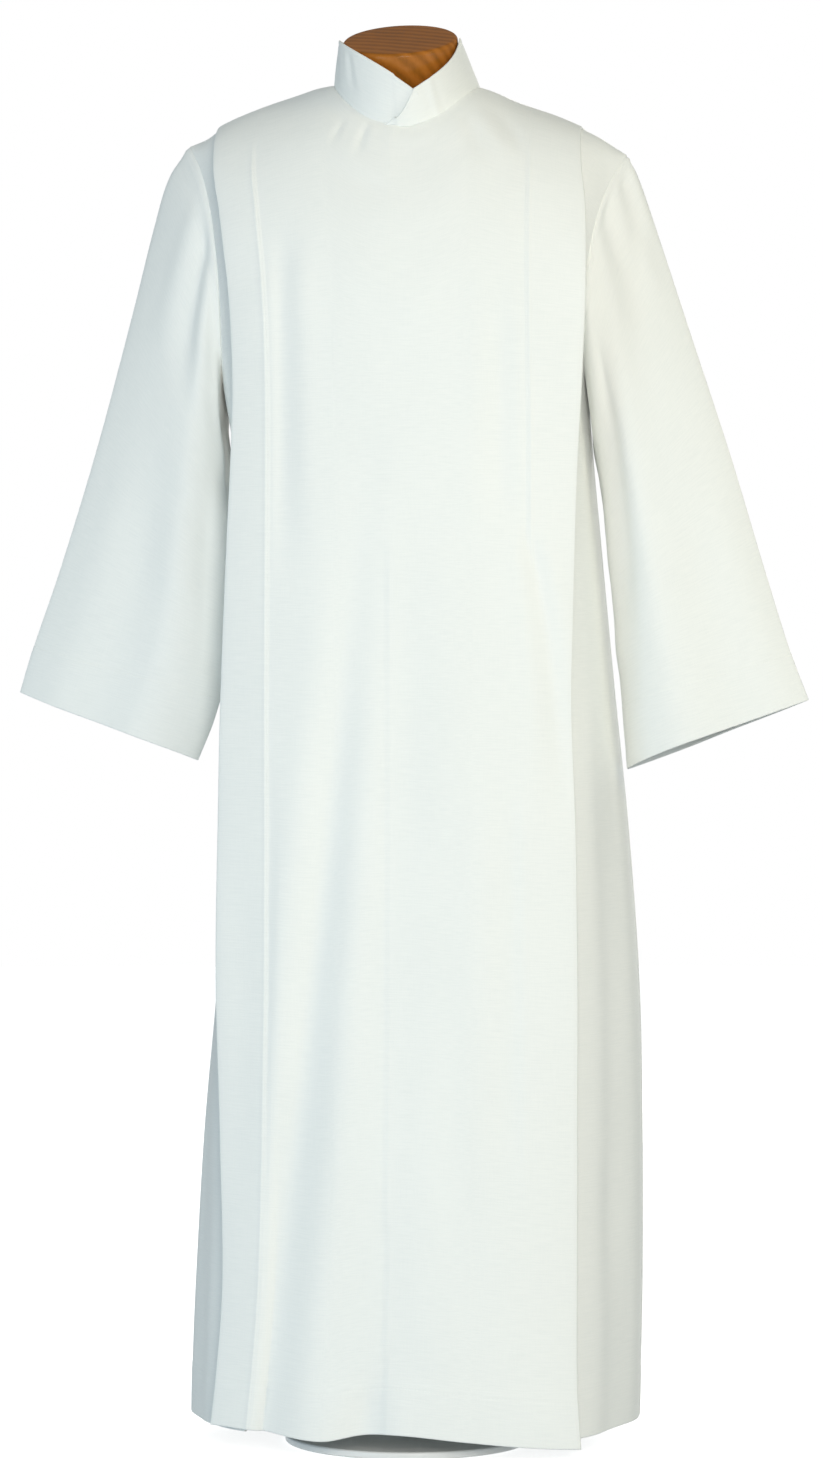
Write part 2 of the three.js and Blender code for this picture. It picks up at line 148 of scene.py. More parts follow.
clothSet = {
    "light": (0.87, 0.885, 0.86, 1), "dim": (0.825, 0.845, 0.825, 1),
    "slubLong": 26, "slubThick": 1.3, "weave": 0.9, "crumple": (60, 90), "patch": (160, 220),
    "slubDeep": 0.11, "weaveDeep": 0.08, "crumpleDeep": 0.8,
}


def makeAlbCloth(s):
    # matt white plain weave: long level slubs, finer upright ones, a fine weave and a faint crumple
    finish, w, feed = newFinish("alb_cloth_weave", {
        "Roughness": 0.85, "Sheen Weight": 0.25, "Sheen Roughness": 0.4, "Specular IOR Level": 0.3})
    per = 1 / mm
    flow = w.node("ShaderNodeUVMap", {"uv_map": "weave"}, {})
    slub = w.noise(flow, (per / s["slubLong"], per / s["slubThick"], 1), 2, 0.6)
    upright = w.noise(flow, (per / s["slubThick"], per / s["slubLong"], 1), 2, 0.6)
    weave = w.noise(flow, (per / s["weave"], per / s["weave"], 1), 1, 0.5)
    crumple = w.noise(flow, (per / s["crumple"][0], per / s["crumple"][1], 1), 2, 0.5)
    patch = w.noise(flow, (per / s["patch"][0], per / s["patch"][1], 1), 2, 0.5)
    tone = 0.42 * slub + 0.18 * upright + 0.15 * weave + 0.25 * patch
    shade = w.node("ShaderNodeValToRGB", {"stops": [(0.38, s["dim"]), (0.58, s["light"])]}, {"Fac": tone})
    feed("Base Color", shade)
    feed("Roughness", 0.95 - 0.2 * slub)
    fine = s["slubDeep"] * (0.7 * slub + 0.3 * upright) + s["weaveDeep"] * weave
    feed("Normal", w.bump(fine + s["crumpleDeep"] * crumple, 0.6, 1))
    return finish


def makeThread():
    # fine thread with a twist, a little brighter than the cloth
    finish, w, feed = newFinish("alb_thread", {"Sheen Weight": 0.2})
    place = w.node("ShaderNodeTexCoord", {}, {}, 3)
    twist = w.noise(place, (2600, 2600, 2600), 1)
    feed("Base Color", w.blend(twist, (0.83, 0.85, 0.83, 1), (0.9, 0.91, 0.89, 1)))
    feed("Roughness", 0.5 + 0.3 * twist)
    return finish


def makeFormCloth():
    # cotton jersey: fine upright ribs and a little pilling
    finish, w, feed = newFinish("form_jersey", {"Sheen Weight": 0.3})
    place = w.node("ShaderNodeTexCoord", {}, {}, 3)
    ribs = w.node("ShaderNodeTexWave", {"wave_type": "BANDS", "bands_direction": "X"},
                  {"Vector": place, "Scale": 190, "Distortion": 1.2, "Detail": 1})
    pill = w.noise(place, (420, 420, 420), 3)
    feed("Base Color", w.blend(0.6 * ribs + 0.4 * pill, (0.62, 0.57, 0.49, 1), (0.76, 0.72, 0.64, 1)))
    feed("Roughness", 0.85 + 0.12 * pill)
    feed("Normal", w.bump(ribs + 0.6 * pill, 0.5, 0.3))
    return finish


woodSet = {
    "dark": (0.22, 0.08, 0.007, 1), "mid": (0.36, 0.122, 0.014, 1), "light": (0.46, 0.168, 0.026, 1),
    "rings": 30, "pores": (300, 26, 300), "heart": (0.11, 0.02, -0.6), "heartTurn": (0.5, 0.15, 0),
}


def makeNeckWood(s):
    # varnished wood: growth rings round a heart off to one side, crossed by fine dark pores
    finish, w, feed = newFinish("neck_wood_varnish", {"Coat Roughness": 0.06, "Specular IOR Level": 0.1})
    place = w.node("ShaderNodeTexCoord", {}, {}, 3)
    heart = w.node("ShaderNodeMapping", {}, {
        "Vector": place, "Location": s["heart"], "Rotation": s["heartTurn"]})
    rings = w.node("ShaderNodeTexWave", {"wave_type": "RINGS", "rings_direction": "Y"}, {
        "Vector": heart, "Scale": s["rings"], "Distortion": 2.5, "Detail": 3, "Detail Scale": 0.6})
    pores = w.noise(heart, s["pores"], 4, 0.65)
    cloud = w.noise(place, (22, 22, 22), 2)
    tone = 0.25 * rings + 0.35 * pores + 0.4 * cloud
    feed("Base Color", w.node("ShaderNodeValToRGB", {
        "stops": [(0.25, s["dark"]), (0.5, s["mid"]), (0.78, s["light"])]}, {"Fac": tone}))
    feed("Roughness", 0.42 + 0.2 * pores)
    feed("Coat Weight", 0.2 - 0.1 * cloud)
    feed("Normal", w.bump(pores, 0.25, 0.2))
    return finish


def makeStandPaint():
    # off-white paint with fine orange peel and patches that are worn duller
    finish, w, feed = newFinish("stand_paint", {"Coat Weight": 0.2, "Coat Roughness": 0.3})
    place = w.node("ShaderNodeTexCoord", {}, {}, 3)
    peel = w.noise(place, (260, 260, 260), 2)
    scuff = w.noise(place, (30, 30, 30), 5, 0.7)
    feed("Base Color", w.blend(scuff, (0.86, 0.86, 0.84, 1), (0.78, 0.78, 0.76, 1)))
    feed("Roughness", 0.3 + 0.25 * scuff)
    feed("Normal", w.bump(peel, 0.15, 0.2))
    return finish


albCloth, albThread = makeAlbCloth(clothSet), makeThread()
formJersey, neckWood, standPaint = makeFormCloth(), makeNeckWood(woodSet), makeStandPaint()
print("materials made")


# numbers along curves and over surfaces

def mix(a, b, t):
    return a + (b - a) * t


def ease(t):    # from 0 to 1 with level ends
    t = np.clip(t, 0, 1)
    return t * t * (3 - 2 * t)


def bell(t):    # 1 in the middle, all but gone at 2
    return np.exp(-t * t)


def rows(columns, *lines):    # a table: its columns' names, and a line of numbers for each row
    return dict(zip(columns.split(), zip(*lines)))


def curve(table, axis, column, at):
    # cubic through the table's rows; at each row its slope is that from the row before to the row after
    xs, ys = np.array(table[axis], float), np.array(table[column], float)
    slope = np.gradient(ys, xs)
    slope[1:-1] = (ys[2:] - ys[:-2]) / (xs[2:] - xs[:-2])
    i = np.clip(np.searchsorted(xs, at) - 1, 0, len(xs) - 2)
    span = xs[i + 1] - xs[i]
    t = np.clip((at - xs[i]) / span, 0, 1)
    start, end, a, b = slope[i] * span, slope[i + 1] * span, ys[i], ys[i + 1]
    return a + t * (start + t * (3 * (b - a) - 2 * start - end + t * (2 * (a - b) + start + end)))


def drift(v, u, cellsUp, cellsAcross, seed):
    # unevenness from -1 to 1: random heights on a coarse grid, eased from corner to corner
    heights = np.random.default_rng(seed).uniform(-1, 1, (cellsUp + 2, cellsAcross + 2))
    v, u = np.clip(v, 0, 1) * cellsUp, np.clip(u, 0, 1) * cellsAcross
    j, i = v.astype(int), u.astype(int)
    tv, tu = ease(v - j), ease(u - i)
    low = mix(heights[j, i], heights[j, i + 1], tu)
    return mix(low, mix(heights[j + 1, i], heights[j + 1, i + 1], tu), tv)


def unit(vectors):
    return vectors / np.maximum(np.linalg.norm(vectors, axis=-1, keepdims=True), 1e-9)


def outward(points, tube=False):
    # unit normals of a grid of points: its direction across, crossed with its direction up
    across = np.gradient(points, axis=1)
    if tube:
        across = np.roll(points, -1, axis=1) - np.roll(points, 1, axis=1)
    return unit(np.cross(across, np.gradient(points, axis=0)))


def distances(path):    # along a path of points, from its start to each of them
    return np.concatenate([[0], np.cumsum(np.linalg.norm(np.diff(path, axis=0), axis=1))])


def lengths(points, axis):    # of the cloth along each row or column of its grid
    return np.linalg.norm(np.diff(points, axis=axis), axis=2).sum(axis=axis)


def meshPiece(name, vertices, faces, finish):
    mesh = bpy.data.meshes.new(name)
    mesh.vertices.add(len(vertices))
    mesh.vertices.foreach_set("co", np.asarray(vertices * mm, np.float32).ravel())
    mesh.loops.add(faces.size)
    mesh.loops.foreach_set("vertex_index", faces.astype(np.int32).ravel())
    sides = faces.shape[1]
    mesh.polygons.add(len(faces))
    mesh.polygons.foreach_set("loop_start", np.arange(0, faces.size, sides, dtype=np.int32))
    mesh.polygons.foreach_set("loop_total", np.full(len(faces), sides, np.int32))
    mesh.polygons.foreach_set("use_smooth", np.ones(len(faces), bool))
    mesh.update(calc_edges=True)
    mesh.validate()
    mesh.materials.append(finish)
    piece = bpy.data.objects.new(name, mesh)
    bpy.context.collection.objects.link(piece)
    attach(piece, "root")
    return piece


def band(a, b, sides):    # four-sided faces between two lines of vertex numbers
    return np.stack([a[:-1], a[1:], b[1:], b[:-1]][::sides], 1)


def ringFaces(count, turns):    # triangles between rings that follow one another
    j, i = np.indices((count - 1, turns)).reshape(2, -1)
    k = (i + 1) % turns
    a, b, c, d = j * turns + i, j * turns + k, (j + 1) * turns + k, (j + 1) * turns + i
    return np.concatenate([np.stack([a, b, c], 1), np.stack([a, c, d], 1)])


def seamClosed(grid, tube):    # a tube's grid gets its first column again after its last
    return np.concatenate([grid, grid[:, :1]], axis=1) if tube else grid


def clothWall(name, points, thick, tube=False):
    # closed wall: the grid moved out by half its thickness and in by half, joined by its rims
    rowCount, columnCount = points.shape[:2]
    out = outward(points, tube) * thick / 2
    vertices = np.concatenate([(points + out).reshape(-1, 3), (points - out).reshape(-1, 3)])
    numbers = seamClosed(np.arange(rowCount * columnCount).reshape(rowCount, columnCount), tube)
    inner = numbers + rowCount * columnCount
    j, i = np.indices((rowCount - 1, numbers.shape[1] - 1)).reshape(2, -1)
    corners = [(j, i), (j, i + 1), (j + 1, i + 1), (j + 1, i)]
    faces = [np.stack([numbers[c] for c in corners], 1), np.stack([inner[c] for c in corners[::-1]], 1)]
    places = [np.stack([np.stack(c, 1) for c in order], 1) for order in (corners, corners[::-1])]
    along, up = np.arange(numbers.shape[1]), np.arange(rowCount)
    rims = [(0 * along, along, -1), (0 * along + rowCount - 1, along, 1)]
    if not tube:
        rims += [(up, 0 * up, 1), (up, 0 * up + columnCount - 1, -1)]
    for row, column, sides in rims:
        faces.append(band(numbers[row, column], inner[row, column], sides))
        line = np.stack([row, column], 1)
        places.append(band(line, line, sides))
    piece = meshPiece(name, vertices, np.concatenate(faces), albCloth)
    # the weave's own coordinates, in metres: along the longest row and up one column
    closed = seamClosed(points, tube)
    across = distances(closed[np.argmax(lengths(closed, 1))])
    height = distances(closed[:, closed.shape[1] // 3])
    places = np.concatenate(places).reshape(-1, 2)
    flow = np.stack([across[places[:, 1]], height[places[:, 0]]], 1) * mm
    piece.data.uv_layers.new(name="weave").data.foreach_set("uv", flow.astype(np.float32).ravel())
    # its two faces are smooth and its rims flat
    smooth = np.arange(len(piece.data.polygons)) < 2 * len(j)
    piece.data.polygons.foreach_set("use_smooth", smooth)
    return piece


def clothPiece(node, points, tube=False, thick=None):
    piece = clothWall(node + "_cloth", points, thick or robe["thick"], tube)
    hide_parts(node)
    return piece


# the robe's cut: half widths and depths of the body by height, R and L of the wearer

body = rows(
    "z sideR sideL foldR foldL lineR lineL front edge back",
    (10, 231, 244, 188, 196, 145, 150, 166, 130, 172),
    (80, 230, 246, 180, 192, 138, 146, 165, 129, 171),
    (180, 226, 248, 174, 192, 131, 145, 163, 127, 169),
    (330, 217, 248, 177, 192, 127, 144, 160, 125, 165),
    (480, 203, 245, 181, 192, 125, 143, 158, 124, 160),
    (640, 193, 234, 180, 190, 125, 143, 156, 122, 154),
    (790, 186, 219, 177, 186, 126, 143, 152, 120, 148),
    (950, 180, 204, 171, 189, 126, 143, 148, 118, 140),
    (1040, 183, 196, 167, 192, 126, 143, 146, 116, 134),
    (1121, 197, 192, 166, 196, 127, 142, 145, 115, 130),
    (1200, 205, 206, 170, 199, 130, 141, 145, 115, 132),
    (1290, 216, 220, 184, 197, 141, 139, 144, 114, 132),
    (1340, 228, 233, 195, 190, 149, 137, 143, 113, 131),
    (1400, 252, 257, 201, 183, 153, 134, 142, 112, 130),
)
shoulder = rows(
    "out R L",
    (0, 1446, 1444), (77, 1435, 1429), (115, 1423, 1411), (155, 1411, 1397),
    (195, 1395, 1380), (215, 1382, 1368), (235, 1374, 1355), (250, 1368, 1347),
)
armhole = rows(
    "up R L",
    (0, 197, 192), (0.06, 194, 191), (0.2, 192, 192), (0.45, 194, 196),
    (0.7, 203, 205), (0.88, 217, 218), (1, 234, 232),
)
hem = rows(
    "x front rest",
    (-250, 34, 30), (-188, 34, 30), (-130, 31, 29), (-68, 25, 27), (-30, 31, 27),
    (15, 33, 26), (80, 27, 26), (140, 21, 25), (196, 17, 25), (250, 17, 31),
)
# tipOut and tipZ are the shoulder's outer end, frontTipZ is the height at which the front's columns
# meet the shoulder line, and nearHemZ is close to any part of the hem
robe = {
    "armpitZ": 1121, "tipOut": 235, "tipZ": 1400, "frontTipZ": 1391, "thick": 0.9, "turnGap": 0.35,
    "neckWide": 77, "neckFront": 88, "neckBack": 42, "neckZ": 1361,
    "hemZ": 25, "nearHemZ": 20, "hemDeep": 50, "hemProud": 0.4, "hemDrawn": 0.25,
    "domePower": 2.5, "domeRoot": 0.55, "seamHalf": 0.2, "rowsBelow": 128, "rowsAbove": 50,
}
armpitZ = robe["armpitZ"]

# hanging folds: a trough from (xTop, zTop) to (xLow, zLow), bowed sideways, its width growing from
# wideTop to wideLow, as deep as deep, fading in and out over shares of its length
foldColumns = "xTop zTop xLow zLow bow wideTop wideLow deep fadeIn fadeOut"
frontFolds = rows(
    foldColumns,
    (-16, 1110, -134, 0, 6, 16, 26, 9, 0.6, 0.01),
    (14, 960, -16, 0, 18, 24, 30, 2.6, 0.3, 0.01),
    (122, 760, 118, 200, 4, 14, 20, 2.2, 0.3, 0.3),
    (-112, 1290, -106, 860, 0, 12, 16, 3, 0.2, 0.4),
    (112, 1240, 116, 930, 0, 12, 16, 2.6, 0.4, 0.3),
    (62, 820, 76, 100, -6, 18, 26, 1.6, 0.5, 0.5),
    (-10, 110, -34, -20, 0, 14, 24, 5, 0.5, 0.01),
    (-54, 1390, -70, 1352, 0, 3, 5, 2.8, 0.3, 0.6),
    (-28, 1386, -38, 1340, -2, 3.5, 6, 3, 0.3, 0.6),
    (92, 1404, 150, 1326, 4, 8, 12, 4, 0.3, 0.6),
    (66, 1398, 92, 1330, 4, 7, 11, 2.6, 0.3, 0.6),
)
bandFolds = rows(
    foldColumns,
    (141, 965, 177, 600, 10, 8, 16, 4, 0.12, 0.6),
    (-150, 640, -158, 200, 3, 16, 20, 1.6, 0.4, 0.5),
)
sideFolds = rows(
    foldColumns,
    (-206, 1000, -212, 0, -4, 12, 14, 3, 0.3, 0.01),
    (214, 900, 226, 0, 5, 12, 16, 4, 0.3, 0.01),
    (202, 1240, 198, 1010, 0, 8, 10, 4, 0.3, 0.4),
)
backFolds = rows(
    foldColumns,
    (-60, 1200, -120, 0, -8, 22, 34, 12, 0.3, 0.01),
    (-6, 1080, -18, 0, 8, 20, 30, 10, 0.35, 0.01),
    (64, 1160, 100, 0, 8, 22, 36, 13, 0.3, 0.01),
    (-150, 760, -178, 0, 0, 18, 28, 7, 0.4, 0.01),
    (150, 640, 186, 0, 0, 18, 28, 7, 0.4, 0.01),
    (-40, 1405, -112, 1330, -4, 10, 14, 2.4, 0.3, 0.6),
    (44, 1402, 108, 1320, 4, 10, 15, 2.6, 0.3, 0.6),
)


def byHand(table, axis, name, x, at):    # the right or left column, by the side that x is on
    right, left = (curve(table, axis, name + side, at) for side in "RL")
    return np.where(np.asarray(x) < 0, right, left)


def shoulderZ(x):
    return byHand(shoulder, "out", "", x, np.abs(x))


def dome(x, z):
    # share of the depth that is left at height z on the dome that closes over the shoulder line:
    # 1 less the share of the height to domePower, all to domeRoot
    share = np.clip((z - armpitZ) / (shoulderZ(x) - armpitZ), 0, 1)
    return (1 - share ** robe["domePower"]) ** robe["domeRoot"]


def troughs(table, x, z):
    # sum of the folds, each a bell across with a low swell on either side
    total = np.zeros(np.broadcast(x, z).shape)
    for line in zip(*table.values()):
        f = dict(zip(table, line))
        t = np.clip((f["zTop"] - z) / (f["zTop"] - f["zLow"]), 0, 1)
        middle = mix(f["xTop"], f["xLow"], t) + 4 * f["bow"] * t * (1 - t)
        off = (x - middle) / mix(f["wideTop"], f["wideLow"], t)
        fade = f["deep"] * ease(t / f["fadeIn"]) * ease((1 - t) / f["fadeOut"])
        total += fade * (bell(off) - 0.3 * bell((off - 1.9) / 0.9) - 0.3 * bell((off + 1.9) / 0.9))
    return total


def frontDepth(x, z):
    # flat in the middle, falling back to the pleats' folds as a power of the distance out
    front = curve(body, "z", "front", z)
    out = np.abs(x) / byHand(body, "z", "fold", x, z)
    fall = (front - curve(body, "z", "edge", z)) * out ** 2.6
    return front - fall - troughs(bandFolds, x, z)


def frontY(x, z):
    # its folds fade out over 14 mm before the pleats' stitched lines
    lineX = byHand(body, "z", "line", x, z)
    free = 1 - ease((np.abs(x) - lineX + 14) / 14)
    return -(robe["seamHalf"] + (frontDepth(x, z) - free * troughs(frontFolds, x, z)) * dome(x, z))


def sideY(x, z):
    # under the pleat it follows the front, then turns like a quarter circle to the side seam
    lineX = byHand(body, "z", "line", x, z)
    turn = np.clip((np.abs(x) - lineX) / (byHand(body, "z", "side", x, z) - lineX), 0, 1)
    depth = (frontDepth(x, z) - pleat["sideBelow"]) * np.sqrt(1 - turn * turn)
    return -(robe["seamHalf"] + depth * dome(x, z))


def backY(x, z):
    # a superellipse of power 2.4 from side seam to side seam
    part = np.clip(np.abs(x) / byHand(body, "z", "side", x, z), 0, 1)
    depth = (curve(body, "z", "back", z) - troughs(backFolds, x, z)) * (1 - part ** 2.4) ** (1 / 2.4)
    return robe["seamHalf"] + depth * dome(x, z)


def neckShare(x, depth, neckDepth):
    # share of the dome's height where the neckline, half an ellipse, crosses it
    part = np.clip(np.abs(x) / robe["neckWide"], 0, 1)
    neckY = neckDepth * np.sqrt(1 - part * part)
    return (1 - (neckY / depth) ** (1 / robe["domeRoot"])) ** (1 / robe["domePower"])


def topEdgeZ(x, depth, neckDepth):    # the shoulder line, and the neckline between the shoulders
    return mix(armpitZ, shoulderZ(x), neckShare(x, depth, neckDepth))


def rowZ(v, hemZ, topZ):    # v is 0 at the hem, 1 at the armpits and 2 at the top edge
    over = armpitZ + (topZ - armpitZ) * np.sin(np.clip(v - 1, 0, 1) * np.pi / 2)
    return np.where(v <= 1, mix(hemZ, armpitZ, v), over)


def armholeX(hand, z):
    up = np.clip((z - armpitZ) / (shoulderZ(hand * robe["tipOut"]) - armpitZ), 0, 1)
    return curve(armhole, "up", "R" if hand < 0 else "L", up)


def edgeX(hand, z):    # the side seam, then the armhole above the armpit
    return np.where(z <= armpitZ, byHand(body, "z", "side", hand, z), armholeX(hand, z))


def withLines(values, *places):    # grid lines, with extra ones close round each place
    near = [place + step for place in places for step in (-0.0022, -0.0011, 0, 0.0011, 0.0022)]
    return np.unique(np.round(np.clip(np.concatenate([values, near]), values[0], values[-1]), 5))


def levelAt(z):    # the rows' v at a height below the armpits, where the hem has its usual height
    return (z - robe["hemZ"]) / (armpitZ - robe["hemZ"])


hemLevel = levelAt(robe["hemZ"] + robe["hemDeep"])
hemSewn = hemLevel - 0.003    # the hem's stitched line, about 3 mm below the turned-up edge
belowLevels = np.linspace(0, 1, robe["rowsBelow"])
aboveLevels = np.linspace(1, 2, robe["rowsAbove"])[1:]
bodyLevels = withLines(np.concatenate([belowLevels, aboveLevels]), 0, hemSewn, 2)
hemRows = int(np.searchsorted(bodyLevels, hemLevel))


def hemRise(up, deep):
    # a hem two layers deep stands proud up to its stitching, which draws it in
    proud = robe["hemProud"] * (1 - ease((up - deep + 1) / 2))
    return proud - robe["hemDrawn"] * bell((up - deep + 3) / 1.4)


def turnedHem(points, count, tube=False):
    # from its lower edge the cloth turns up inside, a small half circle, to the hem's stitching
    out = outward(points, tube)
    rise = robe["thick"] + robe["turnGap"]
    down = unit(points[0] - points[1])
    angles = np.pi - np.arange(4)[:, None, None] * np.pi / 4
    turn = points[0] + rise / 2 * (out[0] * (np.cos(angles) - 1) + down * np.sin(angles))
    inside = points[1:count] - out[1:count] * rise
    return np.concatenate([inside[::-1], turn, points])


print("cut set out")

# centre front with its two pleats

# a pleat is "deep" from its fold in to its stitched line; its under layer ends underShort before the
# line, the side front starts sideShort before it, and close columns run from lineOut before it to
# lineIn past it
pleat = {
    "deep": 48, "underShort": 4, "sideShort": 6, "lineOut": 5, "lineIn": 6, "sideBelow": 1, "bend": 1.5,
    "flare": 0.8, "step": 1.1, "puff": 0.45, "groove": 0.45, "neckRise": 1,
    "turnSteps": 7, "flatSteps": 12, "lineSteps": 17, "centreSteps": 84,
    "releaseZ": 962, "fadeZ": 1385, "crossRows": (785, 768),
}
# how far the pleats' two layers lie above the side fronts' line: more where their hems turn up
pleatRise = rows(
    "z under top",
    (0, 1.5, 5.4), (80, 1.5, 5.4), (180, 1.4, 4.4), (1200, 1.3, 4.0), (1300, 1, 3.0), (1460, 0.9, 2.7),
)


def pleatX(hand, z, inside):
    # how far from the centre a place lies that is inside mm in from a pleat's fold, where the pleat
    # is "deep" deep; by height its depth is that from the fold to the stitched line
    fold = byHand(body, "z", "fold", hand, z)
    return fold - inside * (fold - byHand(body, "z", "line", hand, z)) / pleat["deep"]


def pleatColumns(s):
    # from the folded-under edge, round the fold and over the top to just past the stitched line:
    # each column's distance in from the fold, and its layer, from 0, the under one, to 1, the top
    turn = np.linspace(-np.pi / 2, np.pi / 2, s["turnSteps"])
    under = np.linspace(s["deep"] - s["underShort"], s["bend"], s["flatSteps"])[:-1]
    over = np.linspace(s["bend"], s["deep"] - s["lineOut"], s["flatSteps"])[1:]
    line = np.linspace(s["deep"] - s["lineOut"], s["deep"] + s["lineIn"], s["lineSteps"])[1:]
    inside = np.concatenate([under, s["bend"] * (1 - np.cos(turn)), over, line])
    layer = np.concatenate([0 * under, (1 + np.sin(turn)) / 2, 1 + 0 * over, 1 + 0 * line])
    return inside, layer


def centreFront(s):
    inside, layer = pleatColumns(s)
    # between the pleats the columns are spread evenly, by their share of the way across
    even = np.linspace(0, 1, s["centreSteps"] + 2)[1:-1]
    share = np.concatenate([0 * inside, even, 0 * inside])
    hand = np.concatenate([0 * inside - 1, 0 * even, 0 * inside + 1])
    inside = np.concatenate([inside, 0 * even, inside[::-1]])
    layer = np.concatenate([layer, 0 * even + 1, layer[::-1]])

    def place(z):
        past = s["deep"] + s["lineIn"]
        centre = mix(-pleatX(-1, z, past), pleatX(1, z, past), share)
        return np.where(hand == 0, centre, hand * pleatX(hand + 0 * z, z, inside))

    topX = place(np.full(len(hand), float(robe["frontTipZ"])))
    topZ = topEdgeZ(topX, frontDepth(topX, robe["neckZ"]), robe["neckFront"])
    v = bodyLevels[:, None]
    hemZ = curve(hem, "x", "front", place(rowZ(v, robe["nearHemZ"], topZ)))
    z = rowZ(v, hemZ, topZ)
    x = place(z)
    points = np.stack([x, frontY(x, z), z], 2)
    # outwards is by the slope of the front, as the columns themselves turn back under the pleats
    slope = np.clip((frontY(x + 1, z) - frontY(x - 1, z)) / 2, -2, 2)
    across = np.stack([np.ones_like(slope), slope, np.zeros_like(slope)], 2)
    out = unit(np.cross(across, np.gradient(points, axis=0)))
    # the top layer is one with the front; a narrow ridge and a small step mark its stitched line,
    # which ends at releaseZ on the left, and the front comes down to its neckline
    past = byHand(body, "z", "line", x, z) - np.abs(x)
    sewn = layer * (1 - np.where(x > 0, ease((s["releaseZ"] - z) / 60), 0)) * ease((s["fadeZ"] - z) / 70)
    atNeck = ease((v - 1.75) / 0.25) * ease((100 - np.abs(x)) / 24)
    top = mix(curve(pleatRise, "z", "top", z), s["neckRise"], atNeck)
    rise = mix(curve(pleatRise, "z", "under", z), top, layer)
    ridge = s["puff"] * bell((past + 2.4) / 1.7) - s["groove"] * bell(past / 1.1)
    rise += sewn * (ridge - s["step"] * ease(past / 2.6))
    # the folds stand out a little, more here and less there
    fold = np.clip(byHand(body, "z", "fold", x, z) - np.abs(x), 0, 99)
    loose = 0.6 + 0.6 * drift(v / 2, 0.5 + 0.4 * hand, 14, 1, 5)
    rise += s["flare"] * bell(fold / 20) * loose * dome(x, z)
    uneven = 0.7 * drift(v / 2, (x + 200) / 400, 24, 9, 3)
    rise += layer * (hemRise(z - hemZ, robe["hemDeep"]) + uneven)
    return points + out * rise[..., None]


frontPoints = centreFront(pleat)
clothPiece("centre_front", turnedHem(frontPoints, hemRows))


# side fronts, under the pleats and round to the side seams

def sideFront(hand):
    share = np.sin(np.linspace(0, np.pi / 2, 34))
    share = share[::-1] if hand < 0 else share

    def place(z):
        return hand * mix(pleatX(hand, z, pleat["deep"] - pleat["sideShort"]), edgeX(hand, z), share)

    topZ = shoulderZ(place(robe["tipZ"]))
    hemZ = curve(hem, "x", "rest", place(robe["nearHemZ"]))
    z = rowZ(bodyLevels[:, None], hemZ, topZ)
    x = place(z)
    points = np.stack([x, sideY(x, z), z], 2)
    # its folds show only outside the pleat, and stop at the side seam
    shown = ease((share - 0.55) / 0.2)
    uneven = drift(bodyLevels[:, None] / 2, share[None, :] + 0 * z, 20, 3, 8 + hand)
    rise = shown * (uneven - troughs(sideFolds, x, z)) * (1 - ease((share - 0.9) / 0.1))
    rise += hemRise(z - hemZ, robe["hemDeep"])
    return points + outward(points) * rise[..., None]


for hand, name in ((-1, "right"), (1, "left")):
    clothPiece("side_front_" + name, turnedHem(sideFront(hand), hemRows))


# back

def backPanel():
    turn = np.sin(np.linspace(0.5, -0.5, 111) * np.pi)
    hand, share = np.where(turn < 0, -1, 1), np.abs(turn)

    def place(z):
        return hand * share * np.where(hand < 0, edgeX(-1, z), edgeX(1, z))

    topX = place(robe["tipZ"])
    topZ = topEdgeZ(topX, curve(body, "z", "back", robe["neckZ"]), robe["neckBack"])
    hemZ = curve(hem, "x", "rest", place(robe["nearHemZ"]))
    z = rowZ(bodyLevels[:, None], hemZ, topZ)
    x = place(z)
    points = np.stack([x, backY(x, z), z], 2)
    rise = 1.2 * drift(bodyLevels[:, None] / 2, (x + 250) / 500, 18, 8, 21) * (1 - share ** 6)
    rise += hemRise(z - hemZ, robe["hemDeep"])
    # its shoulder edge meets the pleats' top layers, and is lower outside their folds
    within = ease((byHand(body, "z", "fold", x, z) + 8 - np.abs(x)) / 10) * ease((np.abs(x) - 76) / 24)
    rise += within * curve(pleatRise, "z", "top", z) * ease((bodyLevels[:, None] - 1.8) / 0.2)
    return points + outward(points) * rise[..., None]


backPoints = backPanel()
clothPiece("back", turnedHem(backPoints, hemRows))
print("body made")

# sleeves: outer and inner edges as seen from the front, by the share of the length from the armhole

sleeveR = rows(
    "along outX outZ inX inZ deep fore",
    (0, 234, 1374, 197, 1121, 62, 0), (0.06, 256, 1343, 198, 1100, 62, 0),
    (0.16, 272, 1292, 196, 1062, 60, 2), (0.34, 299, 1184, 190, 998, 56, 6),
    (0.55, 334, 1052, 187, 912, 52, 10), (0.76, 373, 925, 191, 822, 50, 12),
    (0.9, 402, 842, 207, 764, 48, 12), (1, 417, 793, 225, 721, 46, 12),
)
sleeveL = rows(
    "along outX outZ inX inZ deep fore",
    (0, 232, 1355, 192, 1121, 62, 0), (0.06, 243, 1336, 194, 1100, 62, 0),
    (0.16, 262, 1282, 199, 1060, 60, 2), (0.34, 297, 1176, 208, 992, 56, 6),
    (0.55, 341, 1042, 217, 905, 52, 10), (0.76, 380, 912, 225, 815, 50, 12),
    (0.9, 405, 832, 231, 755, 48, 12), (1, 423, 784, 236, 712, 46, 12),
)
sleeve = {
    "rings": 116, "turns": 120, "clear": 0.2, "settle": 0.34, "cuffDeep": 60, "cuffLevel": 0.13,
    "outerLong": 609, "innerLong": 401, "crest": 0.38, "crestIn": 12,
}

